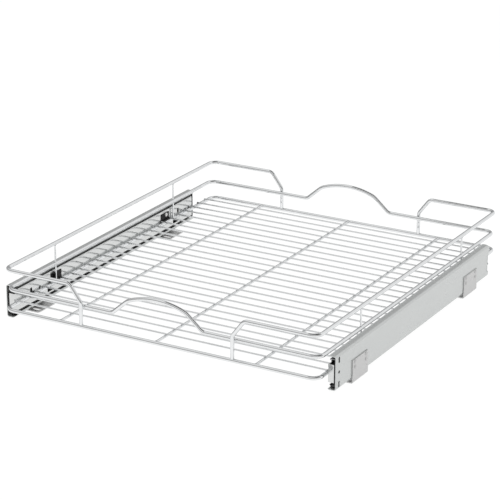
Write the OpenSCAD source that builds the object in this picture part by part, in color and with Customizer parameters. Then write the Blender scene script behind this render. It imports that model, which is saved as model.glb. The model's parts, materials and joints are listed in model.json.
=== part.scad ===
// Pull-out cabinet basket: a welded chrome wire basket carried by two telescopic ball-bearing
// slides, which stand on four foot brackets screwed to the cabinet floor.
// Origin: centre of the base, on the floor that the feet stand on. +X right, +Y to the back, +Z up.
// The basket is drawn closed. It pulls out towards -Y.

/* [Basket] */
// Depth of the basket over its wires
basket_depth = 576.8; // [540:0.2:620]
// Width of the bottom frame between wire centres
frame_width = 496.2; // [470:0.2:496.2]
// Height of the upper rail above the bottom frame, between wire centres
basket_height = 60; // [50:1:90]
// Height of the middle rail above the bottom frame, between wire centres
mid_height = 28.6; // [28.6:0.1:34]
// Diameter of the frame and rail wire
wire_d = 5.6; // [5:0.1:5.8]
// Diameter of the cross wires and side posts
fill_d = 2.8; // [2.4:0.1:3.2]
// Diameter of the three runners under the cross wires
runner_d = 4.2; // [3.6:0.1:4.6]
// Inner distance from a frame corner to its bend centre
corner_r = 13; // [10:1:20]
// Number of cross wires
cross_count = 25; // [19:2:25]
// Distance between neighbouring cross wires
cross_pitch = 21.6; // [18:0.01:22]
// Radius of the top of the finger arch in the middle rail
arch_r = 120; // [100:5:130]
// Length of the straight flank on each side of the finger arch
arch_flank = 25; // [15:1:26]

/* [Slides] */
// Width over both slides
slide_span = 527.2; // [527.2:0.2:534]
// Length of the cabinet members
slide_length = 491; // [485:1:520]
// Height of a slide
slide_height = 48.8; // [46:0.2:50]
// Distance that the basket pulls out
travel = 484; // [400:4:484]
// Distance from the front of the basket wire to the front of the slides
front_overhang = 25.8; // [15:0.1:30]

/* [Feet] */
// Height of the bottom frame wire above the cabinet floor
frame_z = 28.4; // [28:0.1:40]
// Length of a foot bracket along the slide
foot_length = 44.6; // [40:0.2:50]
// Distance of the front brackets' centres in front of the basket's middle
foot_front = 194.6; // [170:0.2:210]
// Distance of the rear brackets' centres behind the basket's middle
foot_rear = 161.4; // [140:0.2:190]
// Distance that a foot reaches inwards from the slide's outer face
foot_reach = 22.1; // [21:0.1:24]
// Length of the screw slot in a foot
foot_slot_length = 13.6; // [10:0.2:14]
// Width of the screw slot in a foot
foot_slot_width = 5; // [4:0.5:6]

/* [Hidden] */
$fn = 48;

past = 1; // how far a cutter runs past the metal on each side
LEFT = -1;
RIGHT = 1;
FRONT = -1;
REAR = 1;

chrome = [0.90, 0.91, 0.92];
zinc = [0.78, 0.79, 0.80];
steel = [0.62, 0.64, 0.66];
dark_steel = [0.16, 0.16, 0.17];
black_plastic = [0.07, 0.07, 0.08];

// ---- basket wires ----
wire_r = wire_d / 2;
fill_r = fill_d / 2;
runner_r = runner_d / 2;
weld_bite = 0.4; // depth that a welded wire sinks into the wire it crosses
frame_x = frame_width / 2;
frame_y = basket_depth / 2 - wire_r;
rail_x = frame_x; // the rails and the side posts stand straight above the bottom frame
mid_y = frame_y - wire_d + weld_bite; // the middle rail lies inside the upper rails' legs
mid_z = frame_z + mid_height;
upper_z = frame_z + basket_height;
cross_z = frame_z + wire_r + fill_r - weld_bite;
cross_half = frame_x + 1.2; // the cross wires end near the frame's outer edge
runner_z = frame_z + wire_r - runner_r; // the runners' tops are level with the frame's
runner_x = 155.6;
post_y = 7.5 * cross_pitch; // the side posts stand halfway between two cross wires
post_bite = 0.9; // depth that a post's ends sink into the wires above and below
// Turns are [sine, cosine], in values that end after a few digits, so that bends and runs meet exactly.
quarter_turn = [1, 0];
slope_turn = [0.8, 0.6]; // from the level run of an upper rail into its slope, about 53 degrees
leg_turn = [0.6, 0.8]; // from the slope into the upright leg, about 37 degrees
arch_turn = [0.352, 0.936]; // half of the arch's top, and each shoulder, about 21 degrees
flank_turn = [0.658944, 0.752192]; // twice arch_turn, from the arch's flank into the level rail
// an upper rail's end: level run, slope, then an upright leg
leg_x = 120.5;
knee_r = 10;
slope_run = 22.5;
slope_x = leg_x + knee_r + slope_run * slope_turn.y;
slope_drop = knee_r + slope_run * slope_turn.x;
// the finger arch: top, shoulders, straight flanks, and a fillet into the level rail
shoulder_r = 25;
arch_fillet_r = 10;
arch_x = arch_r * arch_turn.x + shoulder_r * (flank_turn.x - arch_turn.x)
    + arch_flank * flank_turn.y + arch_fillet_r * flank_turn.x;
arch_rise = arch_r * (1 - arch_turn.y) + shoulder_r * (arch_turn.y - flank_turn.y)
    + arch_flank * flank_turn.x + arch_fillet_r * (1 - flank_turn.y);

// ---- slide section: x runs inwards from the outer face, y up from the slide's middle ----
slide_z = frame_z + 2.4;
slide_front = -basket_depth / 2 + front_overhang;
slide_rear = slide_front + slide_length;
half_h = slide_height / 2;
slide_t = 12.6; // thickness of a slide, over its three members
sheet = 1.2; // sheet of the cabinet and drawer members
mid_sheet = 1.1; // sheet of the intermediate member
cabinet_bend_r = 3.5; // outer radius of the cabinet member's bends
bend_r = 1.8; // outer radius of the other members' bends
ball_gap = 0.05; // running clearance of a ball in its race
groove = 0.3; // depth of the coined ball grooves
outer_ball_r = 1.8;
outer_race_r = outer_ball_r + ball_gap;
outer_ball = [9.55, half_h - sheet - outer_race_r]; // centre of the outer ball row
mid_web = 2.5; // outer face of the intermediate member's web
mid_top = outer_ball.y - outer_race_r + groove;
inner_ball_r = 1.25;
inner_race_r = inner_ball_r + ball_gap;
inner_ball = [8.6, mid_top - mid_sheet - inner_race_r]; // centre of the inner ball row
drawer_top = inner_ball.y - inner_race_r + groove;
drawer_flange = 5.2; // free edge of the drawer member's flanges
front_tab = [-14.2, 11.4]; // lower and upper end of the tab that is bent across the drawer member's front
front_tab_edge = 4; // its free edge, near the cabinet member's web
flange_notch = 8; // the drawer member's flanges start this far behind the tab
front_tab_gap = 0.4; // from the tab to the front of the intermediate member
cage_sheet = 0.6;
outer_cage_web = 1.6;
outer_cage_edge = 11;
inner_cage_web = 3.9;
inner_cage_edge = 9.5;
ball_count = 12; // balls in one row
ball_pitch = 19;
cage_end = 10; // cage beyond the last ball
cage_length = (ball_count - 1) * ball_pitch + 2 * cage_end;
stop_length = 3;
stop_inset = 7; // the track stops start this far behind the slides' front
stop_clearance = 0.4; // between a track stop and the intermediate member
stop_gap = 1; // what is left before the outer cages meet the track stops, with the basket out
cage_front = slide_front + stop_inset + stop_length + stop_gap + travel / 4;
member_inset = 1.5; // the moving members start this far behind the cabinet member's front
bumper_length = 5;
bumper_gap = 0.5;
member_rear = slide_rear - bumper_length - bumper_gap;
bumper_h = 38;
lip_end_angle = -34; // the cabinet member's lip wraps this far under its ball row
lip_notch = 8; // the lips start this far behind the front
lip_stub = 1.6; // height of the bend that is left in front of them
rear_notch = 4.5; // depth of the notches in the web's rear edge, where the bumper shows
rear_notches = [[-16.5, -6.5], [-4, 9.5]]; // lower and upper end of each
// holes in the cabinet members, near the front
web_hole_y = slide_front + 8.7;
web_hole_d = 4.5;
web_slot_width = 4;
web_slot_length = 8.8;
web_slot_t = 17.2; // height of the slots above and below the hole

// ---- foot brackets ----
foot_t = 1.5;
foot_bend_r = 2.5;
foot_corner_r = 4;
foot_plate_top = frame_z + 5;
foot_slot_offset = -13.4; // from the bracket's middle, towards the front
foot_slot_x = slide_span / 2 - 12.8;
rivet_pitch = 32;
rivet_rows = [frame_z + 2, frame_z - 6];
rivet_r = 2;
rivet_head_r = 2.8;
rivet_head_h = 0.8;
rivet_tail_r = 2.5;
rivet_tail_h = 0.6;
rivet_clearance = 0.05;

// ---- basket clips, hooks and slits on the drawer members ----
drawer_face = slide_span / 2 - slide_t; // inner face of the drawer members
clip_length = 26;
rear_clip_front = 13; // the rear clips reach this far to the front of their screw
rear_clip_length = 22;
clip_bottom = frame_z + wire_r + 0.05;
clip_top = frame_z + 14.7;
clip_plate = 1;
clip_ledge = 1.8;
clip_ledge_length = 16;
clip_reach = 2.4; // the ledge reaches this far past the plate, over the frame wire
front_clip_y = -post_y + 4;
rear_clip_y = 143.5;
jaw_gap = 0.1; // clearance of the front clip's jaws round the side post
jaw_t = 2.2;
jaw_bottom = frame_z + 5.5;
jaw_reach = drawer_face - rail_x + fill_r;
peg_r = 2;
screw_head_r = 3;
peg_z = frame_z + 10.6;
clip_screw_z = clip_top - screw_head_r - 0.1;
screw_r = 1.9;
screw_head_h = 1.2;
screw_length = 3.4;
recess_w = 1;
recess_l = 3.6;
hook_length = 14; // hooks lanced out of the drawer members carry the frame wire
hook_t = sheet;
hook_gap = 0.05;
hook_places = [-8 * cross_pitch, 8 * cross_pitch];
hook_drop = 0.8; // the window starts this far below the hook
window_height = 6;
slit_w = 3.2;
slit_up_w = 4.6;
slit_y = slide_front + 42.6; // the L-shaped slit near the front
slit_z = frame_z;
slit_up = 10;
slit_along = 12;
rear_slit_y = 181;
rear_slit_w = 4.8;
rear_slit_bottom = frame_z + 3;
rear_slit_up = 8.5;
small_hole_r = 2;
small_holes = [[-199, frame_z + 4], [202.5, frame_z + 3.4], [214, frame_z + 2.6]];

// ---- helpers ----
// A straight wire between two points.
module rod(a, b, d) {
    v = b - a;
    length = norm(v);
    translate(a)
        rotate([0, acos(v.z / length), atan2(v.y, v.x)])
            cylinder(h = length, d = d);
}

// A bend in a level plane, from angle a0 to a1, anticlockwise from +X.
module level_bend(c, r, d, a0, a1) {
    translate(c) rotate([0, 0, a0])
        rotate_extrude(angle = a1 - a0) translate([r, 0]) circle(d = d);
}

// A straight stretch of frame wire along +Z. What follows it starts at its far end.
module run(length) {
    cylinder(d = wire_d, h = length);
    translate([0, 0, length]) children();
}

// A bend of frame wire from +Z towards +X. What follows it starts at its far end.
module turn(r, by) {
    wedge = 1000;
    translate([r, 0, 0]) rotate([90, 0, 180]) intersection() {
        rotate_extrude(angle = 90) translate([r, 0]) circle(d = wire_d);
        linear_extrude(2 * wire_d, center = true)
            polygon([[0, 0], [wedge, 0], [wedge, wedge * by.x], [wedge * by.y, wedge * by.x]]);
    }
    multmatrix([
        [by.y, 0, by.x, r * (1 - by.y)],
        [0, 1, 0, 0],
        [-by.x, 0, by.y, r * by.x],
    ]) children();
}

// Turns the frame of what follows about the wire's own axis.
module roll(angle) {
    rotate([0, 0, angle]) children();
}

// Draws the left-hand piece, or its mirror image on the right.
module on_side(side) {
    if (side == RIGHT) mirror([1, 0, 0]) children();
    else children();
}

// Puts a slide section at the left slide and runs it from y0 to y1.
module along_slide(y0, y1) {
    translate([-slide_span / 2, y1, slide_z]) rotate([90, 0, 0])
        linear_extrude(y1 - y0) children();
}

module both_halves() {
    children();
    mirror([0, 1]) children();
}

// A bent piece of sheet: the part of a ring between two angles, less than 180 degrees apart.
module sheet_bend(c, r_in, r_out, a0, a1) {
    reach = 3 * r_out;
    mid = (a0 + a1) / 2;
    translate(c) intersection() {
        difference() {
            circle(r = r_out);
            circle(r = r_in);
        }
        polygon([
            [0, 0],
            reach * [cos(a0), sin(a0)],
            reach * [cos(mid), sin(mid)],
            reach * [cos(a1), sin(a1)],
        ]);
    }
}

module upright_slot(width, length) {
    run = length - width;
    translate([-width / 2, -run / 2]) square([width, run]);
    for (end = [-1, 1]) translate([0, end * run / 2]) circle(d = width);
}

// Drills along X, from outside the left slide to past its inner face.
module drill_left(y, z) {
    translate([-slide_span / 2 - past, y, z]) rotate([90, 0, 90])
        linear_extrude(slide_t + 2 * past) children();
}

// ---- slide sections ----
module cabinet_section() {
    both_halves() {
        r = cabinet_bend_r;
        square([sheet, half_h - r]);
        sheet_bend([r, half_h - r], r - sheet, r, 90, 180);
        translate([r, half_h - sheet]) square([outer_ball.x - r, sheet]);
        sheet_bend(outer_ball, outer_race_r, outer_race_r + sheet, lip_end_angle, 90);
    }
}

module intermediate_section() {
    difference() {
        both_halves() {
            translate([mid_web, 0]) square([mid_sheet, mid_top - bend_r]);
            sheet_bend([mid_web + bend_r, mid_top - bend_r], bend_r - mid_sheet, bend_r, 90, 180);
            translate([mid_web + bend_r, mid_top - mid_sheet])
                square([inner_ball.x - mid_web - bend_r, mid_sheet]);
            sheet_bend(inner_ball, inner_race_r, inner_race_r + mid_sheet, 0, 90);
        }
        both_halves() translate(outer_ball) circle(r = outer_race_r);
    }
}

module drawer_section() {
    difference() {
        both_halves() {
            translate([slide_t - sheet, 0]) square([sheet, drawer_top - bend_r]);
            sheet_bend([slide_t - bend_r, drawer_top - bend_r], bend_r - sheet, bend_r, 0, 90);
            translate([drawer_flange, drawer_top - sheet])
                square([slide_t - bend_r - drawer_flange, sheet]);
        }
        both_halves() translate(inner_ball) circle(r = inner_race_r);
    }
}

// The cages are thin channels whose flanges run through the middle of the ball rows.
module cage_section(web, edge, ball) {
    both_halves() {
        translate([web, 0]) square([cage_sheet, ball.y + cage_sheet / 2]);
        translate([web, ball.y - cage_sheet / 2]) square([edge - web, cage_sheet]);
    }
}

// ---- slide pieces, drawn for the left slide ----
module cabinet_member(side) {
    color(zinc) on_side(side) difference() {
        along_slide(slide_front, slide_rear) cabinet_section();
        translate([-slide_span / 2 + outer_ball.x, slide_front - past, slide_z - half_h + lip_stub])
            cube([slide_t, lip_notch + past, 2 * (half_h - lip_stub)]);
        for (band = rear_notches)
            translate([-slide_span / 2 - past, slide_rear - rear_notch, slide_z + band.x])
                cube([sheet + 2 * past, rear_notch + past, band.y - band.x]);
        drill_left(web_hole_y, slide_z) circle(d = web_hole_d);
        for (s = [-1, 1]) drill_left(web_hole_y, slide_z + s * web_slot_t)
            upright_slot(web_slot_width, web_slot_length);
        for (y = rivet_ys(), z = rivet_rows) rivet_hole(y, z);
    }
}

module intermediate_member(side) {
    color(dark_steel) on_side(side)
        along_slide(slide_front + member_inset + sheet + front_tab_gap, member_rear)
            intermediate_section();
}

function ball_y(n) = cage_front + cage_end + n * ball_pitch;

module ball_places(ball) {
    for (s = [-1, 1], n = [0 : ball_count - 1])
        translate([-slide_span / 2 + ball.x, ball_y(n), slide_z + s * ball.y]) children();
}

module ball_cage(side, web, edge, ball, pocket_r) {
    color(black_plastic) on_side(side) difference() {
        along_slide(cage_front, cage_front + cage_length) cage_section(web, edge, ball);
        ball_places(ball) cylinder(r = pocket_r, h = 4 * cage_sheet, center = true);
    }
}

module balls(side, ball, r) {
    color(steel) on_side(side) ball_places(ball) sphere(r = r);
}

// Plugs in the front ends of the outer ball tracks, which keep the cage in.
module track_stop_section() {
    floor_t = mid_top + stop_clearance;
    top_t = half_h - sheet;
    both_halves() intersection() {
        polygon([
            [sheet, floor_t],
            [outer_ball.x + outer_race_r, floor_t],
            [outer_ball.x + outer_race_r, top_t],
            [cabinet_bend_r, top_t],
            [sheet, top_t - cabinet_bend_r + sheet],
        ]);
        union() {
            translate([0, floor_t]) square([outer_ball.x, top_t]);
            translate(outer_ball) circle(r = outer_race_r);
        }
    }
}

module track_stops(side) {
    color(black_plastic) on_side(side)
        along_slide(slide_front + stop_inset, slide_front + stop_inset + stop_length)
            track_stop_section();
}

module rear_bumper(side) {
    color(black_plastic) on_side(side)
        along_slide(slide_rear - bumper_length, slide_rear)
            translate([sheet, -bumper_h / 2]) square([slide_t - 2 * sheet, bumper_h]);
}

// ---- foot brackets ----
function foot_y(end) = end == FRONT ? -foot_front : foot_rear;
function rivet_ys() = [for (end = [FRONT, REAR], s = [-1, 1]) foot_y(end) + s * rivet_pitch / 2];

module rivet_hole(y, z) {
    hole_r = rivet_r + rivet_clearance;
    sink_r = rivet_tail_r + rivet_clearance;
    translate([-slide_span / 2 - foot_t - past, y, z]) rotate([0, 90, 0])
        cylinder(r = hole_r, h = foot_t + sheet + 2 * past);
    translate([-slide_span / 2 + sheet - rivet_tail_h, y, z]) rotate([0, 90, 0])
        cylinder(r1 = hole_r, r2 = sink_r, h = rivet_tail_h);
}

module rivet(y, z) {
    translate([-slide_span / 2 - foot_t - rivet_head_h, y, z]) rotate([0, 90, 0]) {
        cylinder(r = rivet_head_r, h = rivet_head_h);
        cylinder(r = rivet_r, h = rivet_head_h + foot_t + sheet - rivet_tail_h);
        translate([0, 0, rivet_head_h + foot_t + sheet - rivet_tail_h])
            cylinder(r1 = rivet_r, r2 = rivet_tail_r, h = rivet_tail_h);
    }
}

// The angle's section: x inwards from the slide's outer face, y up from the floor.
module foot_section() {
    translate([-foot_t, foot_bend_r]) square([foot_t, foot_plate_top - foot_bend_r]);
    sheet_bend([foot_bend_r - foot_t, foot_bend_r], foot_bend_r - foot_t, foot_bend_r, 180, 270);
    translate([foot_bend_r - foot_t, 0]) square([foot_reach - foot_bend_r + foot_t, foot_t]);
}

// A rectangle from x0 to x1 with rounded corners on its far side.
module tongue(x0, x1, half, r) {
    translate([x0, -half]) square([x1 - r - x0, 2 * half]);
    translate([x1 - r, -half + r]) square([r, 2 * (half - r)]);
    for (s = [-1, 1]) translate([x1 - r, s * (half - r)]) circle(r = r);
}

module foot_bracket(side, end) {
    y = foot_y(end);
    outer_x = -slide_span / 2;
    color(zinc) on_side(side) difference() {
        intersection() {
            translate([outer_x, y + foot_length / 2, 0]) rotate([90, 0, 0])
                linear_extrude(foot_length) foot_section();
            translate([outer_x, y, -past]) linear_extrude(foot_plate_top + 2 * past)
                tongue(-foot_t - past, foot_reach, foot_length / 2, foot_corner_r);
        }
        translate([-foot_slot_x, y + foot_slot_offset, -past]) rotate([0, 0, 90])
            linear_extrude(foot_t + 2 * past) upright_slot(foot_slot_width, foot_slot_length);
        for (ry = rivet_ys(), z = rivet_rows) rivet_hole(ry, z);
    }
}

module bracket_rivets(side) {
    color(steel) on_side(side) for (y = rivet_ys(), z = rivet_rows) rivet(y, z);
}

// ---- drawer members, with the hooks that carry the basket ----
// A strap that runs inwards under the frame wire and turns up at its edge.
module hook(y) {
    top = frame_z - wire_r - hook_gap;
    inner_x = -frame_x + wire_r + hook_gap;
    translate([-drawer_face - sheet, y - hook_length / 2, top - hook_t])
        cube([drawer_face + sheet + inner_x + hook_t, hook_length, hook_t]);
    translate([inner_x, y - hook_length / 2, top - hook_t])
        cube([hook_t, hook_length, hook_t + wire_r]);
}

// The window that a hook is lanced out of.
module hook_window(y) {
    top = frame_z - wire_r - hook_gap - hook_t - hook_drop;
    translate([-drawer_face - sheet - past, y - hook_length / 2, top - window_height])
        cube([sheet + 2 * past, hook_length, window_height]);
}

module bracket_slit() {
    translate([-slit_up_w / 2, 0]) square([slit_up_w, slit_up]);
    translate([-slit_up_w / 2, 0]) square([slit_along, slit_w]);
}

// Drills along X, through the left drawer member's web and what lies on its inner face.
module drill_drawer(y, z) {
    translate([-drawer_face - sheet - past, y, z]) rotate([90, 0, 90])
        linear_extrude(sheet + clip_plate + 2 * past) children();
}

module drawer_member(side) {
    color(zinc) on_side(side) difference() {
        union() {
            along_slide(slide_front + member_inset, member_rear) drawer_section();
            along_slide(slide_front + member_inset, slide_front + member_inset + sheet)
                translate([front_tab_edge, front_tab.x])
                    square([slide_t - sheet - front_tab_edge, front_tab.y - front_tab.x]);
            for (y = hook_places) hook(y);
        }
        for (z = [front_tab.x - half_h, front_tab.y])
            translate([-slide_span / 2, slide_front + member_inset - past, slide_z + z])
                cube([slide_t + past, flange_notch + past, half_h]);
        for (y = hook_places) hook_window(y);
        drill_drawer(slit_y, slit_z) bracket_slit();
        drill_drawer(rear_slit_y, rear_slit_bottom + rear_slit_up / 2)
            upright_slot(rear_slit_w, rear_slit_up);
        for (h = small_holes) drill_drawer(h[0], h[1]) circle(r = small_hole_r);
        drill_drawer(front_clip_y, peg_z) circle(r = peg_r + rivet_clearance);
        drill_drawer(rear_clip_y, clip_screw_z) circle(r = screw_r + rivet_clearance);
    }
}

// The plate of a clip, on the drawer member's inner face.
module clip_plate_at(y, length) {
    translate([-drawer_face, y, clip_bottom])
        cube([clip_plate, length, clip_top - clip_bottom]);
}

// The ledge of a clip, which holds the frame wire down.
module clip_ledge_at(y) {
    translate([-drawer_face + clip_plate, y - clip_ledge_length / 2, clip_bottom])
        cube([clip_reach, clip_ledge_length, clip_ledge]);
}

module front_clip(side) {
    color(black_plastic) on_side(side) {
        clip_plate_at(front_clip_y - clip_length / 2, clip_length);
        difference() {
            clip_ledge_at(-post_y);
            translate([-rail_x, -post_y, clip_bottom - past])
                cylinder(r = fill_r + jaw_gap, h = clip_ledge + 2 * past);
        }
        for (s = [-1, 1])
            translate([-drawer_face, -post_y - jaw_t / 2 + s * (fill_r + jaw_gap + jaw_t / 2), jaw_bottom])
                cube([jaw_reach, jaw_t, clip_top - jaw_bottom]);
        translate([-drawer_face - sheet, front_clip_y, peg_z]) rotate([0, 90, 0])
            cylinder(r = peg_r, h = sheet + clip_plate);
    }
}

module rear_clip(side) {
    color(black_plastic) on_side(side) difference() {
        union() {
            clip_plate_at(rear_clip_y - rear_clip_front, rear_clip_length);
            clip_ledge_at(6.5 * cross_pitch);
        }
        drill_drawer(rear_clip_y, clip_screw_z) circle(r = screw_r + rivet_clearance);
        translate([-drawer_face + clip_plate, rear_clip_y, clip_screw_z]) rotate([0, 90, 0])
            cylinder(r = screw_head_r + rivet_clearance, h = 2 * screw_head_h);
    }
}

module clip_screw() {
    translate([-drawer_face + clip_plate, rear_clip_y, clip_screw_z]) rotate([0, 90, 0])
        difference() {
            union() {
                cylinder(r = screw_head_r, h = screw_head_h);
                translate([0, 0, -screw_length]) cylinder(r = screw_r, h = screw_length);
            }
            for (a = [0, 90]) rotate([0, 0, a])
                translate([-recess_l / 2, -recess_w / 2, screw_head_h / 3])
                    cube([recess_l, recess_w, screw_head_h]);
        }
}

module clip_screws() {
    color(steel) for (side = [LEFT, RIGHT]) on_side(side) clip_screw();
}

// ---- basket wires ----
module ring_corners(hx, hy, z, d) {
    for (i = [0 : 3]) {
        sx = i == 0 || i == 3 ? 1 : -1;
        sy = i < 2 ? 1 : -1;
        level_bend([sx * (hx - corner_r), sy * (hy - corner_r), z], corner_r, d, 90 * i, 90 * i + 90);
    }
}

module side_runs(hx, hy, z, d) {
    for (s = [-1, 1])
        rod([s * hx, -hy + corner_r, z], [s * hx, hy - corner_r, z], d);
}

module bottom_frame() {
    color(chrome) {
        side_runs(frame_x, frame_y, frame_z, wire_d);
        end_x = frame_x - corner_r;
        for (s = [-1, 1])
            rod([-end_x, s * frame_y, frame_z], [end_x, s * frame_y, frame_z], wire_d);
        ring_corners(frame_x, frame_y, frame_z, wire_d);
    }
}

// A quarter of the middle rail: from the top of the front arch, past the left corner, to the side's middle.
module mid_rail_quarter() {
    translate([0, -mid_y, mid_z + arch_rise]) rotate([0, -90, 0]) roll(180)
        turn(arch_r, arch_turn) turn(shoulder_r, arch_turn) run(arch_flank)
            roll(180) turn(arch_fillet_r, flank_turn)
                run(rail_x - corner_r - arch_x)
                    roll(90) turn(corner_r, quarter_turn)
                        run(mid_y - corner_r);
}

module mid_rail() {
    color(chrome) {
        mid_rail_quarter();
        mirror([1, 0, 0]) mid_rail_quarter();
        mirror([0, 1, 0]) {
            mid_rail_quarter();
            mirror([1, 0, 0]) mid_rail_quarter();
        }
    }
}

// Half of an upper rail: from the side's middle, round the front corner, to the foot of its leg.
module upper_rail_half() {
    translate([-rail_x, 0, upper_z]) rotate([90, 0, 0])
        run(frame_y - corner_r) turn(corner_r, quarter_turn)
            roll(-90) run(rail_x - corner_r - slope_x)
                turn(knee_r, slope_turn) run(slope_run) turn(knee_r, leg_turn)
                    run(basket_height - slope_drop - wire_r + weld_bite);
}

module upper_rail(side) {
    color(chrome) on_side(side) {
        upper_rail_half();
        mirror([0, 1, 0]) upper_rail_half();
    }
}

module runner(x) {
    reach = frame_y - wire_r + weld_bite;
    color(chrome) rod([x, -reach, runner_z], [x, reach, runner_z], runner_d);
}

module cross_wires() {
    middle = (cross_count - 1) / 2;
    color(chrome) for (n = [0 : cross_count - 1]) {
        y = (n - middle) * cross_pitch;
        rod([-cross_half, y, cross_z], [cross_half, y, cross_z], fill_d);
    }
}

// A post is two short wires: from the bottom frame to the middle rail, and on to the upper rail.
module side_post(side, end) {
    y = end * post_y;
    rise = wire_r - post_bite; // from a wire's centre to the end of a post
    color(chrome) on_side(side) {
        rod([-rail_x, y, frame_z + rise], [-rail_x, y, mid_z - rise], fill_d);
        rod([-rail_x, y, mid_z + rise], [-rail_x, y, upper_z - rise], fill_d);
    }
}

cabinet_member(LEFT);  // cabinet_member_left
cabinet_member(RIGHT);  // cabinet_member_right
foot_bracket(LEFT, FRONT);  // foot_bracket_front_left
foot_bracket(RIGHT, FRONT);  // foot_bracket_front_right
foot_bracket(LEFT, REAR);  // foot_bracket_rear_left
foot_bracket(RIGHT, REAR);  // foot_bracket_rear_right
bracket_rivets(LEFT);  // bracket_rivets_left
bracket_rivets(RIGHT);  // bracket_rivets_right
track_stops(LEFT);  // track_stops_left
track_stops(RIGHT);  // track_stops_right
rear_bumper(LEFT);  // rear_bumper_left
rear_bumper(RIGHT);  // rear_bumper_right
ball_cage(LEFT, outer_cage_web, outer_cage_edge, outer_ball, outer_race_r);  // outer_ball_cage_left
ball_cage(RIGHT, outer_cage_web, outer_cage_edge, outer_ball, outer_race_r);  // outer_ball_cage_right
balls(LEFT, outer_ball, outer_ball_r);  // outer_balls_left
balls(RIGHT, outer_ball, outer_ball_r);  // outer_balls_right
intermediate_member(LEFT);  // intermediate_member_left
intermediate_member(RIGHT);  // intermediate_member_right
ball_cage(LEFT, inner_cage_web, inner_cage_edge, inner_ball, inner_race_r);  // inner_ball_cage_left
ball_cage(RIGHT, inner_cage_web, inner_cage_edge, inner_ball, inner_race_r);  // inner_ball_cage_right
balls(LEFT, inner_ball, inner_ball_r);  // inner_balls_left
balls(RIGHT, inner_ball, inner_ball_r);  // inner_balls_right
drawer_member(LEFT);  // drawer_member_left
drawer_member(RIGHT);  // drawer_member_right
front_clip(LEFT);  // front_clip_left
front_clip(RIGHT);  // front_clip_right
rear_clip(LEFT);  // rear_clip_left
rear_clip(RIGHT);  // rear_clip_right
clip_screws();
bottom_frame();
mid_rail();
upper_rail(LEFT);  // upper_rail_left
upper_rail(RIGHT);  // upper_rail_right
runner(-runner_x);  // runner_left
runner(0);  // runner_center
runner(runner_x);  // runner_right
cross_wires();
side_post(LEFT, FRONT);  // side_post_front_left
side_post(RIGHT, FRONT);  // side_post_front_right
side_post(LEFT, REAR);  // side_post_rear_left
side_post(RIGHT, REAR);  // side_post_rear_right
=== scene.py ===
import json
import math

import bmesh
import bpy
from mathutils import Matrix, Vector


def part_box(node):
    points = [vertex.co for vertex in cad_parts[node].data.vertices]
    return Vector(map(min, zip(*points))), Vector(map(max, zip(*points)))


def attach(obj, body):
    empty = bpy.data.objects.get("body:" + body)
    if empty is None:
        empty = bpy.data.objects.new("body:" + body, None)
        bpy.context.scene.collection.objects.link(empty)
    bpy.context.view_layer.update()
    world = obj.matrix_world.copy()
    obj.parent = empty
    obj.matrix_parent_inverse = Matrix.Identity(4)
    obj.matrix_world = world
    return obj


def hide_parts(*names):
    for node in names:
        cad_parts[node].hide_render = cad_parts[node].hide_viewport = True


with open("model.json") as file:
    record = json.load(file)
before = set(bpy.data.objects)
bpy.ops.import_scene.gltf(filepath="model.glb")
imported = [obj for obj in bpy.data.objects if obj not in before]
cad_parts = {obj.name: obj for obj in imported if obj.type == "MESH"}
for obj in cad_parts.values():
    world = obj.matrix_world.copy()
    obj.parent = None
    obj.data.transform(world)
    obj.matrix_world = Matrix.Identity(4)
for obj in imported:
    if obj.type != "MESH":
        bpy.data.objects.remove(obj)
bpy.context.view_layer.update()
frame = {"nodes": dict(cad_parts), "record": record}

bl_info = {
    "name": "Pull-out Cabinet Basket",
    "version": (1, 0, 0),
    "blender": (4, 5, 0),
    "location": "3D View > Sidebar > Basket",
    "description": "Dresses a chrome wire basket on ball-bearing slides and sets up its studio",
    "category": "Object",
}

MM = 0.001
SIDES = ("left", "right")
ENDS = ("front", "rear")
RUNNERS = ("left", "center", "right")
NODE_BODY = {
    node: body
    for body, nodes in frame["record"]["behaviour"]["bodies"].items()
    for node in nodes}


# ---- settings ----

class WireSettings(bpy.types.PropertyGroup):
    """Chrome wires and their welds"""

    colour: bpy.props.FloatVectorProperty(
        name="Chrome", description="Colour of the chrome plating",
        subtype="COLOR", size=3, min=0, max=1, default=(0.82, 0.83, 0.835))
    edge_colour: bpy.props.FloatVectorProperty(
        name="Chrome at the rim", description="Tint of the plating where the wire turns away",
        subtype="COLOR", size=3, min=0, max=1, default=(0.8, 0.81, 0.82))
    roughness: bpy.props.FloatProperty(
        name="Roughness", description="How much the plating blurs what it mirrors",
        min=0.02, max=0.4, default=0.08)
    bead_height: bpy.props.FloatProperty(
        name="Weld bead height", description="Height of the metal squeezed out at each weld",
        unit="LENGTH", min=0.2 * MM, max=1.5 * MM, default=0.75 * MM)
    bead_spread: bpy.props.FloatProperty(
        name="Weld bead spread",
        description="How far the bead reaches past the thinner wire, as a share of its radius",
        min=1.0, max=1.6, default=1.28)


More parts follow.
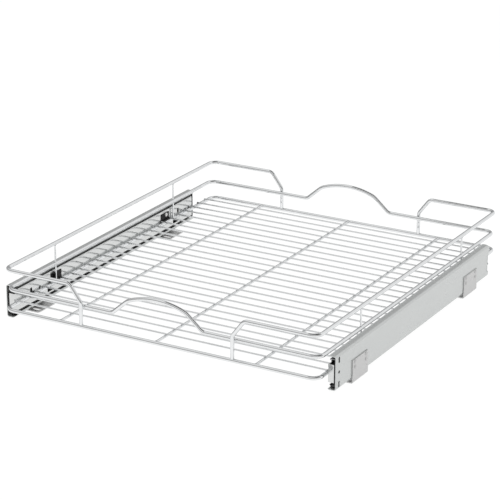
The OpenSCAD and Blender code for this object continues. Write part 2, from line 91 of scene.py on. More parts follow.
class SlideSettings(bpy.types.PropertyGroup):
    """Members, cages and balls of the telescopic slides"""

    colour: bpy.props.FloatVectorProperty(
        name="Zinc", description="Colour of the zinc-plated members",
        subtype="COLOR", size=3, min=0, max=1, default=(0.59, 0.605, 0.6))
    roughness: bpy.props.FloatProperty(
        name="Roughness", description="How much the zinc blurs what it mirrors",
        min=0.05, max=0.6, default=0.24)
    inner_colour: bpy.props.FloatVectorProperty(
        name="Bright zinc", description="Colour of the drawer members, which are plated brighter",
        subtype="COLOR", size=3, min=0, max=1, default=(0.72, 0.73, 0.725))
    inner_roughness: bpy.props.FloatProperty(
        name="Bright roughness", description="How much the drawer members blur what they mirror",
        min=0.03, max=0.6, default=0.09)
    # the middle members' near-black colour is painted shade for the gaps between the slide members; the
    # smears on it are grease
    painted_shade_colour: bpy.props.FloatVectorProperty(
        name="Painted shade steel", description="Colour of the greased middle members, dark as painted shade",
        subtype="COLOR", size=3, min=0, max=1, default=(0.08, 0.08, 0.082))
    edge: bpy.props.FloatProperty(
        name="Sheet edge", description="Rounding along the cut edges of the sheet",
        unit="LENGTH", min=0.02 * MM, max=0.3 * MM, default=0.12 * MM)


class FootSettings(bpy.types.PropertyGroup):
    """Foot brackets and their rivets"""

    colour: bpy.props.FloatVectorProperty(
        name="Zinc", description="Colour of the zinc-plated brackets",
        subtype="COLOR", size=3, min=0, max=1, default=(0.6, 0.6, 0.598))
    edge: bpy.props.FloatProperty(
        name="Plate edge", description="Rounding along the brackets' edges",
        unit="LENGTH", min=0.05 * MM, max=0.7 * MM, default=0.55 * MM)
    crown: bpy.props.FloatProperty(
        name="Rivet crown",
        description="How far the flat top of a rivet head reaches, as a share of its radius",
        min=0.1, max=0.8, default=0.35)


class ClipSettings(bpy.types.PropertyGroup):
    """Plastic clips and their screws"""

    colour: bpy.props.FloatVectorProperty(
        name="Plastic", description="Colour of the clips, cages and track stops",
        subtype="COLOR", size=3, min=0, max=1, default=(0.012, 0.012, 0.013))
    edge: bpy.props.FloatProperty(
        name="Moulded edge", description="Rounding along the moulded edges",
        unit="LENGTH", min=0.05 * MM, max=0.6 * MM, default=0.3 * MM)


class StageSettings(bpy.types.PropertyGroup):
    """Camera, lamp, floor and what the metal mirrors"""

    azimuth: bpy.props.FloatProperty(
        name="Azimuth", description="How far the camera stands round to the right",
        subtype="ANGLE", default=math.radians(29.73))
    elevation: bpy.props.FloatProperty(
        name="Elevation", description="How far the camera looks down",
        subtype="ANGLE", default=math.radians(20.12))
    roll: bpy.props.FloatProperty(
        name="Roll", description="Turn of the camera about its line of sight",
        subtype="ANGLE", default=math.radians(0.072))
    distance: bpy.props.FloatProperty(
        name="Distance", description="From the camera to the point it looks at",
        unit="LENGTH", default=3.133)
    target: bpy.props.FloatVectorProperty(
        name="Target", description="The point that the camera looks at",
        subtype="XYZ", unit="LENGTH", size=3, default=(-0.03559, 0.03468, 0.05433))
    lens: bpy.props.FloatProperty(
        name="Lens", description="Focal length in millimetres, on a 36 mm sensor",
        min=20, max=400, default=152.41)
    key: bpy.props.FloatProperty(
        name="Key lamp", description="Power of the large overhead softbox, in watts",
        min=0, max=200, default=44)
    sky: bpy.props.FloatProperty(
        name="Room light", description="Strength of the light that comes from all round",
        min=0, max=2, default=0.5)
    dome: bpy.props.FloatProperty(
        name="Dome", description="Brightness of the white dome that the metal mirrors",
        min=0, max=2, default=0.9)
    floor_colour: bpy.props.FloatVectorProperty(
        name="Floor", description="Colour of the floor",
        subtype="COLOR", size=3, min=0, max=1, default=(0.82, 0.82, 0.82))
    floor_glow: bpy.props.FloatProperty(
        name="Floor glow", description="How bright the floor looks to the camera and to the metal",
        min=0, max=2, default=1.1)
    floor_share: bpy.props.FloatProperty(
        name="Floor glow share", description="Share of that glow in the floor's look; the rest shows shadows",
        min=0, max=1, default=0.85)
    flag_height: bpy.props.FloatProperty(
        name="Flag height",
        description="Height of the black flag that darkens the upper sides of sloping wires",
        unit="LENGTH", min=1, max=5, default=2.5)
    wall_radius: bpy.props.FloatProperty(
        name="Wall radius",
        description="From the middle of the studio to the wall that the metal mirrors",
        unit="LENGTH", min=3.5, max=10, default=5)
    wall_height: bpy.props.FloatProperty(
        name="Wall height", description="Height of the wall",
        unit="LENGTH", min=0.5, max=8, default=6)
    wall_foot: bpy.props.FloatProperty(
        name="Wall foot", description="Brightness of the wall's grey part at the floor",
        min=0, max=1, default=0.28)
    wall_head: bpy.props.FloatProperty(
        name="Wall head", description="Brightness of the wall's grey part at its top",
        min=0, max=1, default=0.85)
    wall_turn: bpy.props.FloatProperty(
        name="Wall turn",
        description="Turn of the wall's bright part, from straight behind to the right",
        subtype="ANGLE", default=math.radians(36))
    wall_back: bpy.props.FloatProperty(
        name="Wall back", description="Brightness of the wall's bright part",
        min=0, max=1, default=0.92)


SETTINGS = {
    "basket_wires": WireSettings,
    "basket_slides": SlideSettings,
    "basket_feet": FootSettings,
    "basket_clips": ClipSettings,
    "basket_stage": StageSettings,
}


# ---- finishes ----

# how many marks of a pattern a metre holds, along X, Y and Z
CHROME_PATCHES = (35, 35, 35)
CHROME_RIPPLE = (90, 90, 90)
WELD_LUMPS = (1400, 1400, 1400)
STRIP_PATCHES = (14, 6, 14)
STRIP_CRYSTALS = (420, 260, 420)
STEEL_GRAIN = (900, 900, 900)
PLATE_PATCHES = (60, 60, 60)
PLATE_GRAIN = (2600, 2600, 2600)
PLATE_MARKS = (180, 900, 700)
BALL_FILM = (700, 700, 700)
PLASTIC_PATCHES = (90, 90, 90)
PLASTIC_RUBS = (500, 1500, 500)

# length and width of one line of a pattern that has a direction
DRAWING_LINE = (60 * MM, 0.35 * MM)
ROLLING_LINE = (90 * MM, 0.5 * MM)
GREASE_SMEAR = (40 * MM, 3 * MM)

# height of each relief
LINE_RELIEF = 0.004 * MM
PLATE_RELIEF = 0.006 * MM
GRAIN_RELIEF = 0.01 * MM
PLASTIC_RELIEF = 0.02 * MM
CHROME_RELIEF = 0.05 * MM
WELD_RELIEF = 0.08 * MM
STRIP_RELIEF = 0.1 * MM

BALL_COLOUR = (0.62, 0.62, 0.62, 1)
BALL_FILM_COLOUR = (0.5, 0.49, 0.46, 1)


class Finish:
    """A procedural finish that follows the piece's own coordinates."""

    def __init__(self, name, **surface):
        self.material = bpy.data.materials.new(name)
        self.material.use_nodes = True
        self.tree = self.material.node_tree
        self.shader = self.tree.nodes["Principled BSDF"]
        self.coordinates = self.tree.nodes.new("ShaderNodeTexCoord").outputs["Object"]
        for socket, value in surface.items():
            self.set(self.shader, socket.replace("_", " "), value)

    def feed(self, socket, value):
        """Links a pattern to a socket, or sets the socket to a constant."""
        if isinstance(value, bpy.types.NodeSocket):
            self.tree.links.new(value, socket)
        else:
            socket.default_value = value

    def set(self, node, socket, value):
        self.feed(node.inputs[socket], value)

    def add(self, kind, output, sockets):
        """Adds a node with these inputs and gives one of its outputs."""
        node = self.tree.nodes.new(kind)
        for socket, value in sockets.items():
            self.set(node, socket, value)
        return node.outputs[output]

    def stretched(self, scale):
        """The piece's coordinates, with that many marks per metre along each axis."""
        return self.add("ShaderNodeMapping", "Vector", {"Vector": self.coordinates, "Scale": scale})

    def noise(self, scale, detail=3.0, roughness=0.5, distortion=0.0):
        return self.add("ShaderNodeTexNoise", "Fac", {
            "Vector": self.stretched(scale), "Scale": 1.0, "Detail": detail,
            "Roughness": roughness, "Distortion": distortion})

    def grains(self, scale):
        """A different grey for each crystal."""
        cells = self.add("ShaderNodeTexVoronoi", "Color", {
            "Vector": self.stretched(scale), "Scale": 1.0, "Randomness": 1.0})
        return self.add("ShaderNodeSeparateColor", "Red", {"Color": cells})

    def span(self, pattern, low, high, start=0.3, end=0.7):
        """Turns a pattern, from start to end, into values from low to high."""
        return self.add("ShaderNodeMapRange", "Result", {
            "Value": pattern, "From Min": start, "From Max": end, "To Min": low, "To Max": high})

    def blend(self, share, first, second):
        """The first colour, with that share of the second one over it."""
        mix = self.tree.nodes.new("ShaderNodeMix")
        mix.data_type = "RGBA"
        self.set(mix, "Factor", share)
        colours = [socket for socket in mix.inputs if socket.type == "RGBA"]
        for socket, colour in zip(colours, (first, second)):
            self.feed(socket, colour)
        return next(socket for socket in mix.outputs if socket.type == "RGBA")

    def tones(self, pattern, colour, low, high):
        """The colour times low where the pattern is low, and times high where it is high."""
        return self.blend(self.span(pattern, 0, 1), shade(colour, low), shade(colour, high))

    def bump(self, height, distance, under=None):
        """A relief, over the one under it if there is one."""
        sockets = {"Height": height, "Distance": distance, "Strength": 1.0}
        if under is not None:
            sockets["Normal"] = under
        return self.add("ShaderNodeBump", "Normal", sockets)

    def painted(self, colour, roughness, normal):
        """The material, with these three on its shader."""
        self.set(self.shader, "Base Color", colour)
        self.set(self.shader, "Roughness", roughness)
        self.set(self.shader, "Normal", normal)
        return self.material


def shade(colour, share):
    """The same colour, lighter or darker by that share."""
    return tuple(min(1.0, part * share) for part in colour) + (1.0,)


def along(axis, length, width):
    """Marks per metre of a pattern whose lines run along the axis, or lie evenly where there is none."""
    scale = Vector((1 / width,) * 3)
    if axis:
        scale["XYZ".index(axis)] = 1 / length
    return scale


def chrome(name, axis):
    """Bright chrome over drawn wire, with faint drawing lines, a soft ripple and dulled patches."""
    settings = bpy.context.scene.basket_wires
    finish = Finish(name, Metallic=1.0, Specular_Tint=shade(settings.edge_colour, 1))
    patches = finish.noise(CHROME_PATCHES, detail=4)
    drawn = finish.noise(along(axis, *DRAWING_LINE), detail=2)
    ripple = finish.bump(finish.noise(CHROME_RIPPLE, detail=1), CHROME_RELIEF)
    tint = finish.tones(patches, settings.colour, low=0.95, high=1.03)
    lines = finish.span(drawn, low=0, high=0.35)
    return finish.painted(
        colour=finish.blend(lines, tint, shade(settings.colour, 0.9)),
        roughness=finish.span(patches, low=settings.roughness * 0.7, high=settings.roughness * 1.5),
        normal=finish.bump(drawn, LINE_RELIEF, under=ripple))


def weld_chrome():
    """Chrome over squeezed-out weld metal, which stays a little rough and dull."""
    settings = bpy.context.scene.basket_wires
    finish = Finish("weld_chrome", Metallic=1.0, Specular_Tint=shade(settings.edge_colour, 1))
    lumps = finish.noise(WELD_LUMPS, detail=3)
    return finish.painted(
        colour=finish.tones(lumps, settings.colour, low=0.72, high=0.95),
        roughness=finish.span(lumps, low=0.3, high=0.16),
        normal=finish.bump(lumps, WELD_RELIEF))


def rolled_zinc(name, colour, roughness):
    """Zinc-plated strip, with rolling lines along the slide, faint crystals and scuffed patches."""
    finish = Finish(name, Metallic=0.75)
    patches = finish.noise(STRIP_PATCHES, detail=5, roughness=0.6)
    rolling = finish.noise(along("Y", *ROLLING_LINE), detail=3)
    crystals = finish.span(finish.grains(STRIP_CRYSTALS), low=0, high=0.25, start=0, end=1)
    tint = finish.tones(patches, colour, low=0.965, high=1.03)
    tint = finish.blend(crystals, tint, shade(colour, 0.93))
    lines = finish.span(rolling, low=0, high=0.3)
    return finish.painted(
        colour=finish.blend(lines, tint, shade(colour, 1.08)),
        roughness=finish.span(patches, low=roughness * 0.8, high=roughness * 1.3),
        normal=finish.bump(patches, STRIP_RELIEF, under=finish.bump(rolling, LINE_RELIEF)))


def greased_painted_shade_steel(colour):
    """Near-black strip under a film of grease, smeared along the slide; the dark colour is painted shade for
    the gaps between the members.
    """
    finish = Finish("greased_painted_shade_steel", Metallic=0.5)
    film = finish.noise(along("Y", *GREASE_SMEAR), detail=4, distortion=0.3)
    grain = finish.noise(STEEL_GRAIN, detail=2)
    return finish.painted(
        colour=finish.tones(film, colour, low=0.7, high=1.5),
        roughness=finish.span(film, low=0.5, high=0.28),
        normal=finish.bump(grain, GRAIN_RELIEF))


def matt_zinc(name, colour):
    """Duller zinc on pressed parts and fasteners: fine grain, soft patches and handling marks."""
    finish = Finish(name, Metallic=0.6)
    patches = finish.noise(PLATE_PATCHES, detail=5, roughness=0.6)
    grain = finish.noise(PLATE_GRAIN, detail=2)
    handled = finish.noise(PLATE_MARKS, detail=2, distortion=0.6)
    marks = finish.span(handled, low=0, high=0.5, start=0.62, end=0.75)
    tint = finish.tones(patches, colour, low=0.97, high=1.03)
    return finish.painted(
        colour=finish.blend(marks, tint, shade(colour, 1.15)),
        roughness=finish.span(patches, low=0.26, high=0.4),
        normal=finish.bump(grain, PLATE_RELIEF))


def ball_steel():
    """Hardened balls, polished but with the faint film of grease they run in."""
    finish = Finish("ball_steel", Metallic=1.0)
    film = finish.noise(BALL_FILM, detail=3)
    return finish.painted(
        colour=finish.blend(finish.span(film, low=0, high=1), BALL_FILM_COLOUR, BALL_COLOUR),
        roughness=finish.span(film, low=0.08, high=0.22),
        normal=finish.bump(film, GRAIN_RELIEF))


def moulded_black(name, colour, roughness, grain):
    """Moulded polymer with a fine eroded grain, that many to a metre, and pale rubbed flecks."""
    finish = Finish(name, Specular_IOR_Level=0.15)
    patches = finish.noise(PLASTIC_PATCHES, detail=4)
    texture = finish.noise((grain, grain, grain), detail=3, roughness=0.65)
    rubbed = finish.noise(PLASTIC_RUBS, detail=3, distortion=0.4)
    flecks = finish.span(rubbed, low=0, high=0.35, start=0.6, end=0.78)
    tint = finish.tones(patches, colour, low=0.75, high=1.35)
    return finish.painted(
        colour=finish.blend(flecks, tint, shade(colour, 3)),
        roughness=finish.span(texture, low=roughness * 0.85, high=roughness * 1.2),
        normal=finish.bump(texture, PLASTIC_RELIEF))


# ---- shapes ----

MERGE_DISTANCE = 0.002 * MM  # corners closer than this are one corner
FLAT_ANGLE = math.radians(0.3)  # faces that meet at less than this are one face
SHARP_ANGLE = math.radians(40)  # edges sharper than this are broken, and aren't shaded smooth
BEAD_SHARP_ANGLE = math.radians(60)


def merged(node):
    """A CAD node's mesh as a bmesh whose triangles are joined up."""
    bm = bmesh.new()
    bm.from_mesh(frame["nodes"][node].data)
    bmesh.ops.remove_doubles(bm, verts=bm.verts, dist=MERGE_DISTANCE)
    return bm


def solids(node):
    """Boxes of a CAD node's separate solids, front to back."""
    bm = merged(node)
    boxes, waiting = [], set(bm.verts)
    while waiting:
        solid, reached = set(), [waiting.pop()]
        while reached:
            vertex = reached.pop()
            solid.add(vertex)
            for edge in vertex.link_edges:
                other = edge.other_vert(vertex)
                if other in waiting:
                    waiting.discard(other)
                    reached.append(other)
        low, high = (
            Vector([end(vertex.co[axis] for vertex in solid) for axis in range(3)]) for end in (min, max))
        boxes.append((low, high))
    bm.free()
    return sorted(boxes, key=lambda box: (round(box[0].y, 6), round(box[0].z, 6)))


def finished(bm, name, body, material, sharp_angle=SHARP_ANGLE):
    """Makes a piece of a bmesh, which rides on a body."""
    mesh = bpy.data.meshes.new(name)
    bm.normal_update()
    bm.to_mesh(mesh)
    bm.free()
    for layer in ("custom_normal", "sharp_face", "sharp_edge"):
        if layer in mesh.attributes:
            mesh.attributes.remove(mesh.attributes[layer])
    mesh.shade_smooth()
    mesh.set_sharp_from_angle(angle=sharp_angle)
    mesh.materials.clear()
    mesh.materials.append(material)
    piece = bpy.data.objects.new(name, mesh)
    bpy.context.scene.collection.objects.link(piece)
    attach(piece, body)
    return piece


def eased(node, name, material, width, segments=2):
    """Stands for a CAD node: the same shape, with its edges broken."""
    bm = merged(node)
    bmesh.ops.dissolve_limit(bm, angle_limit=FLAT_ANGLE, verts=bm.verts, edges=bm.edges,
                             use_dissolve_boundaries=False, delimit=set())
    piece = finished(bm, name, NODE_BODY[node], material)
    modifier = piece.modifiers.new("Broken edges", "BEVEL")
    modifier.width = width
    modifier.segments = segments
    modifier.limit_method = "ANGLE"
    modifier.angle_limit = SHARP_ANGLE
    modifier.use_clamp_overlap = True
    modifier.harden_normals = True
    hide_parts(node)
    return piece


def refinish(node, material):
    """Gives a CAD node a new material."""
    for slot in frame["nodes"][node].material_slots:
        slot.material = material


# ---- pieces ----

BEAD_SEGMENTS, BEAD_RINGS = 12, 6
BEAD_SINK = 0.3  # how far a bead on the frame's top sinks into it, as a share of its height
BEAD_LENGTH = 0.95  # along the cross wire, as a share of the bead's reach across it
RUNNER_BEAD_RISE = 1.1  # half height of a bead at a runner's end, as a share of the runner's radius
LEG_BEAD = (1.12, 0.99)  # half sizes of the bead under a leg, as shares of the leg's radius
RAIL_BEAD_DEPTH = 0.9  # half depth of the bead between a leg and the middle rail, as a share of its height

RIVET_HEAD = 0.8 * MM  # height of a rivet's domed head
RIVET_TAIL = 0.6 * MM  # height of its set tail
RIVET_TAIL_CHAMFER = 0.08 * MM
RIVET_SHANK_R, RIVET_TAIL_R = 0.7, 0.88  # as shares of the head's radius
RIVET_TAIL_TIP = 0.5  # flat end of the tail, as a share of its radius
RIVET_CROWN_DROP = 0.02 * MM  # from the middle of the head's flat top to its rim
# the dome's radius as a share of the head's, and the depth below its top
RIVET_DOME = ((0.7, 0.18 * MM), (0.93, 0.45 * MM), (1, 0.68 * MM), (0.98, RIVET_HEAD))
RIVET_STEPS = 28
RIVET_TONE = 0.85  # the rivets are a little darker than the brackets

PLUG_EDGE = 0.15 * MM
BUMPER_EDGE = 0.8 * MM
SCREW_EDGE = 0.25 * MM
# near white, lighter than the other zinc: the screw heads are partly a painted highlight, the white highlight
# on the clips
SCREW_HIGHLIGHT_COLOUR = (0.88, 0.88, 0.87)


class BASKET_OT_wires(bpy.types.Operator):
    """Plate the basket's wires in chrome"""

    bl_idname = "basket.wires"
    bl_label = "Chrome wires"

    def execute(self, context):
        lengthwise, crosswise = chrome("chrome_lengthwise", "Y"), chrome("chrome_crosswise", "X")
        upright, bent = chrome("chrome_upright", "Z"), chrome("chrome_bent", "")
        for runner in RUNNERS:
            refinish(f"runner_{runner}", lengthwise)
        refinish("cross_wires", crosswise)
        for side in SIDES:
            refinish(f"upper_rail_{side}", bent)
            for end in ENDS:
                refinish(f"side_post_{end}_{side}", upright)
        for ring in ("bottom_frame", "mid_rail"):
            refinish(ring, bent)
        return {"FINISHED"}


class BASKET_OT_welds(bpy.types.Operator):
    """Add the small beads squeezed out where wires are welded"""

    bl_idname = "basket.welds"
    bl_label = "Weld beads"

    def execute(self, context):
        settings = context.scene.basket_wires
        height = settings.bead_height
        bm = bmesh.new()

        def bead(centre, half):
            bmesh.ops.create_uvsphere(
                bm, u_segments=BEAD_SEGMENTS, v_segments=BEAD_RINGS, radius=1,
                matrix=Matrix.Translation(centre) @ Matrix.Diagonal((*half, 1)))

        fill_low, fill_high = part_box("cross_wires")
        reach = (fill_high.z - fill_low.z) / 2 * settings.bead_spread
        frame_low, frame_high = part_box("bottom_frame")
        wire_r = (frame_high.z - frame_low.z) / 2
        frame_x = frame_high.x - wire_r
        mid_low, mid_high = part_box("mid_rail")
        mid_z = mid_low.z + wire_r
        runners = [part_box(f"runner_{runner}") for runner in RUNNERS]
        runner_r = (runners[0][1].x - runners[0][0].x) / 2

        # the cross wires lie on the frame and the runners
        lines = [-frame_x, frame_x] + [(low.x + high.x) / 2 for low, high in runners]
        for low, high in solids("cross_wires"):
            y = (low.y + high.y) / 2
            for x in lines:
                bead((x, y, frame_high.z - height * BEAD_SINK), (reach * BEAD_LENGTH, reach, height))
        # the runners meet the frame's ends
        for low, high in runners:
            x, z = (low.x + high.x) / 2, (low.z + high.z) / 2
            for y in (low.y, high.y):
                bead((x, y, z), (runner_r * settings.bead_spread, height, runner_r * RUNNER_BEAD_RISE))
        for side in SIDES:
            # the upper rail's legs stand on the frame and hold the middle rail
            rail_low, rail_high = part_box(f"upper_rail_{side}")
            leg_x = rail_high.x - wire_r if side == "left" else rail_low.x + wire_r
            for sign in (-1, 1):
                leg_y = sign * (rail_high.y - wire_r)
                bead((leg_x, leg_y, rail_low.z), (wire_r * LEG_BEAD[0], wire_r * LEG_BEAD[1], height))
                bead((leg_x, sign * mid_high.y, mid_z), (reach, height * RAIL_BEAD_DEPTH, reach))
            # the side posts touch the frame and both rails
            for end in ENDS:
                post_low, post_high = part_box(f"side_post_{end}_{side}")
                x, y = (post_low.x + post_high.x) / 2, (post_low.y + post_high.y) / 2
                for z in (frame_high.z, mid_z + wire_r, rail_high.z - 2 * wire_r):
                    bead((x, y, z), (reach, reach, height))
        finished(bm, "weld_beads", "basket", weld_chrome(), sharp_angle=BEAD_SHARP_ANGLE)
        return {"FINISHED"}


class BASKET_OT_slides(bpy.types.Operator):
    """Dress the slides' three members"""

    bl_idname = "basket.slides"
    bl_label = "Slide members"

    def execute(self, context):
        settings = context.scene.basket_slides
        outer_zinc = rolled_zinc("zinc_strip", settings.colour, settings.roughness)
        # painted shade: the middle members are near black so that the gaps between the members look shaded
        middle_painted_shade = greased_painted_shade_steel(settings.painted_shade_colour)
        inner_zinc = rolled_zinc("bright_strip", settings.inner_colour, settings.inner_roughness)
        members = {
            "cabinet_member": ("zinc_slide", outer_zinc),
            "intermediate_member": ("dark_steel", middle_painted_shade),
            "drawer_member": ("zinc_slide", inner_zinc),
        }
        for side in SIDES:
            for member, (slot, finish) in members.items():
                eased(f"{member}_{side}", f"{member}_{side}_sheet", finish, settings.edge)
        return {"FINISHED"}


class BASKET_OT_tracks(bpy.types.Operator):
    """Dress the ball cages, balls, track stops and bumpers"""

    bl_idname = "basket.tracks"
    bl_label = "Ball tracks"

    def execute(self, context):
        colour = context.scene.basket_clips.colour
        cage = moulded_black("cage_plastic", colour, roughness=0.35, grain=1800)
        # the black track stops are partly painted shade: they fill the fronts of the ball tracks, where the
        # dark is mostly shade
        stop = moulded_black("stop_plastic_and_shade", colour, roughness=0.45, grain=1400)
        rubber = moulded_black("bumper_rubber", colour, roughness=0.75, grain=900)
        steel = ball_steel()
        for side in SIDES:
            for row in ("outer", "inner"):
                refinish(f"{row}_ball_cage_{side}", cage)
                refinish(f"{row}_balls_{side}", steel)
            # black plugs at the tracks' fronts, partly real stops and partly painted shade
            eased(f"track_stops_{side}", f"shaded_track_plugs_{side}", stop, PLUG_EDGE)
            eased(f"rear_bumper_{side}", f"bumper_block_{side}", rubber, BUMPER_EDGE,
                  segments=3)
        return {"FINISHED"}


class BASKET_OT_feet(bpy.types.Operator):
    """Dress the foot brackets and make their domed rivets"""

    bl_idname = "basket.feet"
    bl_label = "Foot brackets"

    def execute(self, context):
        settings = context.scene.basket_feet
        zinc = matt_zinc("zinc_plate", settings.colour)
        rivet_zinc = matt_zinc("rivet_zinc", tuple(part * RIVET_TONE for part in settings.colour))
        for side in SIDES:
            for end in ENDS:
                eased(f"foot_bracket_{end}_{side}", f"{end}_{side}_foot", zinc,
                      settings.edge, segments=3)
            bm = bmesh.new()
            for low, high in solids(f"bracket_rivets_{side}"):
                self.rivet(bm, low, high, settings.crown, 1 if side == "right" else -1)
            piece = finished(bm, f"domed_rivets_{side}", "cabinet_side", rivet_zinc)
            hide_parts(f"bracket_rivets_{side}")
        return {"FINISHED"}

    @staticmethod
    def rivet(bm, low, high, crown, out):
        """One rivet on its axis, from the domed head outside to the set tail inside."""
        head_r = (high.z - low.z) / 2
        length = high.x - low.x
        centre = (low + high) / 2
        outer = high.x if out > 0 else low.x
        shank_r, tail_r = head_r * RIVET_SHANK_R, head_r * RIVET_TAIL_R
        dome = [(head_r * share, depth) for share, depth in RIVET_DOME]
        profile = [
            (0, 0), (head_r * crown, RIVET_CROWN_DROP), *dome,
            (shank_r, RIVET_HEAD), (shank_r, length - RIVET_TAIL),
            (tail_r, length - RIVET_TAIL_CHAMFER), (tail_r * RIVET_TAIL_TIP, length), (0, length)]
        verts = [bm.verts.new((outer - out * depth, centre.y, centre.z + r)) for r, depth in profile]
        edges = [bm.edges.new(pair) for pair in zip(verts, verts[1:])]
        bmesh.ops.spin(bm, geom=verts + edges, cent=centre, axis=(1, 0, 0), angle=2 * math.pi,
                       steps=RIVET_STEPS, use_merge=True)
        bmesh.ops.remove_doubles(bm, verts=bm.verts, dist=MERGE_DISTANCE)
        bmesh.ops.recalc_face_normals(bm, faces=bm.faces)


class BASKET_OT_clips(bpy.types.Operator):
    """Dress the plastic clips and their cross-recessed screws"""

    bl_idname = "basket.clips"
    bl_label = "Clips"

    def execute(self, context):
        settings = context.scene.basket_clips
        plastic = moulded_black("clip_plastic", settings.colour, roughness=0.4, grain=1600)
        for side in SIDES:
            for end in ENDS:
                eased(f"{end}_clip_{side}", f"{end}_{side}_clip", plastic, settings.edge)
        # painted highlight in part: the near-white screw heads give the clips their white highlight
        screw = matt_zinc("screw_zinc_and_highlight", SCREW_HIGHLIGHT_COLOUR)
        eased("clip_screws", "cross_screws", screw, SCREW_EDGE)
        return {"FINISHED"}


# ---- stage ----

SENSOR_WIDTH = 36  # in millimetres
CAMERA_REACH = (0.05, 50)  # nearest and farthest that the camera sees, in metres
KEY_PLACE = (0.3, -0.3, 2.2)
KEY_SIZE = 4
FLOOR_HALF_WIDTH = 6
FLOOR_CELLS = 8
FLAG_CORNERS = ((-0.9, -1.1), (2.6, 1.1))  # near left and far right
WALL_SEGMENTS = 64
WALL_FADE = (0.7, 0.85)  # where the bright part begins and is full, as shares of the wall's radius


def sees_background(tree):
    """1 for the rays that look at the background: straight, mirrored or through glass."""
    path = tree.nodes.new("ShaderNodeLightPath")
    total = path.outputs["Is Camera Ray"]
    for kind in ("Is Glossy Ray", "Is Transmission Ray"):
        either = tree.nodes.new("ShaderNodeMath")
        either.operation = "MAXIMUM"
        tree.links.new(total, either.inputs[0])
        tree.links.new(path.outputs[kind], either.inputs[1])
        total = either.outputs[0]
    return total


def show_both(tree, share, first, second, output):
    """Sends the first shader to the output, and the second one in its place by that share."""
    mix = tree.nodes.new("ShaderNodeMixShader")
    tree.links.new(share, mix.inputs["Fac"])
    tree.links.new(first.outputs[0], mix.inputs[1])
    tree.links.new(second.outputs[0], mix.inputs[2])
    tree.links.new(mix.outputs[0], tree.nodes[output].inputs["Surface"])


def staged(bm, name, material, only_mirrored=False):
    """Makes an object of the stage of a bmesh."""
    mesh = bpy.data.meshes.new(name)
    bm.to_mesh(mesh)
    bm.free()
    mesh.materials.append(material)
    piece = bpy.data.objects.new(name, mesh)
    bpy.context.scene.collection.objects.link(piece)
    if only_mirrored:
        piece.visible_camera = piece.visible_diffuse = piece.visible_shadow = False


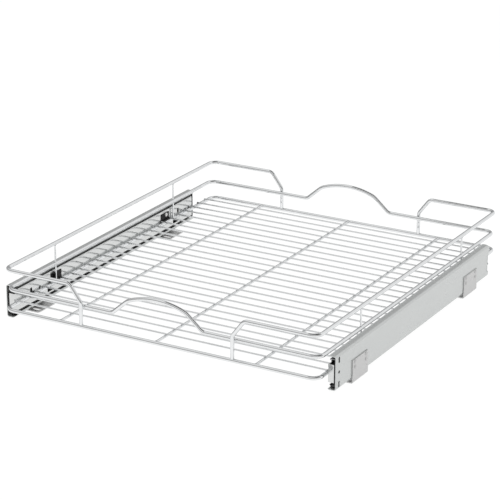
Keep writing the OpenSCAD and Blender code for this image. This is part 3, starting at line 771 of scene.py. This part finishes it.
class BASKET_OT_stage(bpy.types.Operator):
    """Set up the camera, the lamp, the room light, the floor and what the metal mirrors"""

    bl_idname = "basket.stage"
    bl_label = "Stage"

    def execute(self, context):
        settings = context.scene.basket_stage
        self.camera(settings)
        self.room(settings)
        self.floor(settings)
        self.wall(settings)
        self.flag(settings)
        self.key_lamp(settings)
        context.scene.view_settings.view_transform = "Standard"
        return {"FINISHED"}

    @staticmethod
    def camera(settings):
        lens = bpy.data.cameras.new("camera")
        lens.lens = settings.lens
        lens.sensor_width = SENSOR_WIDTH
        lens.clip_start, lens.clip_end = CAMERA_REACH
        camera = bpy.data.objects.new("camera", lens)
        level = math.cos(settings.elevation)
        back = Vector((math.sin(settings.azimuth) * level, -math.cos(settings.azimuth) * level,
                       math.sin(settings.elevation)))
        camera.location = Vector(settings.target) + back * settings.distance
        aim = (-back).to_track_quat("-Z", "Y")
        camera.rotation_mode = "QUATERNION"
        camera.rotation_quaternion = aim @ Matrix.Rotation(settings.roll, 3, "Z").to_quaternion()
        bpy.context.scene.collection.objects.link(camera)
        bpy.context.scene.camera = camera

    @staticmethod
    def key_lamp(settings):
        lamp = bpy.data.lights.new("key_softbox", "AREA")
        lamp.shape = "RECTANGLE"
        lamp.size = lamp.size_y = KEY_SIZE
        lamp.energy = settings.key
        softbox = bpy.data.objects.new("key_softbox", lamp)
        softbox.location = KEY_PLACE
        softbox.rotation_euler = (-Vector(KEY_PLACE)).to_track_quat("-Z", "Y").to_euler()
        softbox.visible_glossy = False  # the metal mirrors the dome instead
        bpy.context.scene.collection.objects.link(softbox)

    @staticmethod
    def room(settings):
        world = bpy.data.worlds.new("room")
        bpy.context.scene.world = world
        world.use_nodes = True
        tree = world.node_tree
        light, dome = tree.nodes["Background"], tree.nodes.new("ShaderNodeBackground")
        for background, strength in ((light, settings.sky), (dome, settings.dome)):
            background.inputs["Color"].default_value = (1, 1, 1, 1)
            background.inputs["Strength"].default_value = strength
        show_both(tree, sees_background(tree), light, dome, "World Output")

    @staticmethod
    def floor(settings):
        bm = bmesh.new()
        bmesh.ops.create_grid(bm, x_segments=FLOOR_CELLS, y_segments=FLOOR_CELLS, size=FLOOR_HALF_WIDTH)
        paper = Finish("floor_paper", Base_Color=shade(settings.floor_colour, 1), Roughness=0.9,
                       Specular_IOR_Level=0.0)
        glow = paper.tree.nodes.new("ShaderNodeEmission")
        glow.inputs["Strength"].default_value = settings.floor_glow
        share = paper.tree.nodes.new("ShaderNodeMath")
        share.operation = "MULTIPLY"
        paper.set(share, 0, sees_background(paper.tree))
        paper.set(share, 1, settings.floor_share)
        show_both(paper.tree, share.outputs[0], paper.shader, glow, "Material Output")
        staged(bm, "floor", paper.material)

    @staticmethod
    def wall(settings):
        """A round grey wall with a bright part, which only shows where the metal mirrors it."""
        bm = bmesh.new()
        bmesh.ops.create_cone(
            bm, segments=WALL_SEGMENTS, radius1=settings.wall_radius, radius2=settings.wall_radius,
            depth=settings.wall_height, matrix=Matrix.Translation((0, 0, settings.wall_height / 2)))
        bmesh.ops.reverse_faces(bm, faces=bm.faces)
        grey = Finish("wall_grey")
        height = grey.add("ShaderNodeSeparateXYZ", "Z", {"Vector": grey.coordinates})
        turned = grey.add("ShaderNodeMapping", "Vector", {
            "Vector": grey.coordinates, "Rotation": (0, 0, settings.wall_turn)})
        back = grey.add("ShaderNodeSeparateXYZ", "Y", {"Vector": turned})
        fade_start, fade_end = (settings.wall_radius * share for share in WALL_FADE)
        dim = grey.span(height, settings.wall_foot, settings.wall_head, start=0, end=settings.wall_height)
        lit = grey.span(back, low=0, high=1, start=fade_start, end=fade_end)
        strength = grey.add("ShaderNodeMix", "Result", {"Factor": lit, "A": dim, "B": settings.wall_back})
        glow = grey.tree.nodes.new("ShaderNodeEmission")
        grey.set(glow, "Strength", strength)
        grey.tree.links.new(glow.outputs[0], grey.tree.nodes["Material Output"].inputs["Surface"])
        staged(bm, "wall", grey.material, only_mirrored=True)

    @staticmethod
    def flag(settings):
        """A black flag overhead, which only shows where bends and slopes mirror it."""
        (left, near), (right, far) = FLAG_CORNERS
        centre = ((left + right) / 2, (near + far) / 2, settings.flag_height)
        bm = bmesh.new()
        # a square metre, stretched between the corners
        bmesh.ops.create_grid(
            bm, x_segments=1, y_segments=1, size=0.5,
            matrix=Matrix.Translation(centre) @ Matrix.Diagonal((right - left, far - near, 1, 1)))
        cloth = Finish("flag_cloth", Base_Color=(0.01, 0.01, 0.01, 1), Roughness=1.0)
        staged(bm, "flag", cloth.material, only_mirrored=True)


# ---- panel ----

PIECES = (BASKET_OT_wires, BASKET_OT_welds, BASKET_OT_slides, BASKET_OT_tracks,
          BASKET_OT_feet, BASKET_OT_clips, BASKET_OT_stage)


class BASKET_PT_pieces(bpy.types.Panel):
    """Lists the basket's pieces and their settings"""

    bl_label = "Cabinet Basket"
    bl_idname = "BASKET_PT_pieces"
    bl_space_type = "VIEW_3D"
    bl_region_type = "UI"
    bl_category = "Basket"

    def draw(self, context):
        for piece in PIECES:
            self.layout.operator(piece.bl_idname)
        for name, group in SETTINGS.items():
            box = self.layout.box()
            box.label(text=group.__doc__)
            for setting in group.__annotations__:
                box.prop(getattr(context.scene, name), setting)


def register():
    for name, group in SETTINGS.items():
        bpy.utils.register_class(group)
        setattr(bpy.types.Scene, name, bpy.props.PointerProperty(type=group))
    for piece in PIECES:
        bpy.utils.register_class(piece)
    bpy.utils.register_class(BASKET_PT_pieces)


def unregister():
    bpy.utils.unregister_class(BASKET_PT_pieces)
    for piece in reversed(PIECES):
        bpy.utils.unregister_class(piece)
    for name, group in SETTINGS.items():
        delattr(bpy.types.Scene, name)
        bpy.utils.unregister_class(group)


def main():
    register()
    bpy.ops.basket.stage()
    bpy.ops.basket.wires()
    bpy.ops.basket.welds()
    bpy.ops.basket.slides()
    bpy.ops.basket.tracks()
    bpy.ops.basket.feet()
    bpy.ops.basket.clips()


if __name__ == "__main__":
    main()
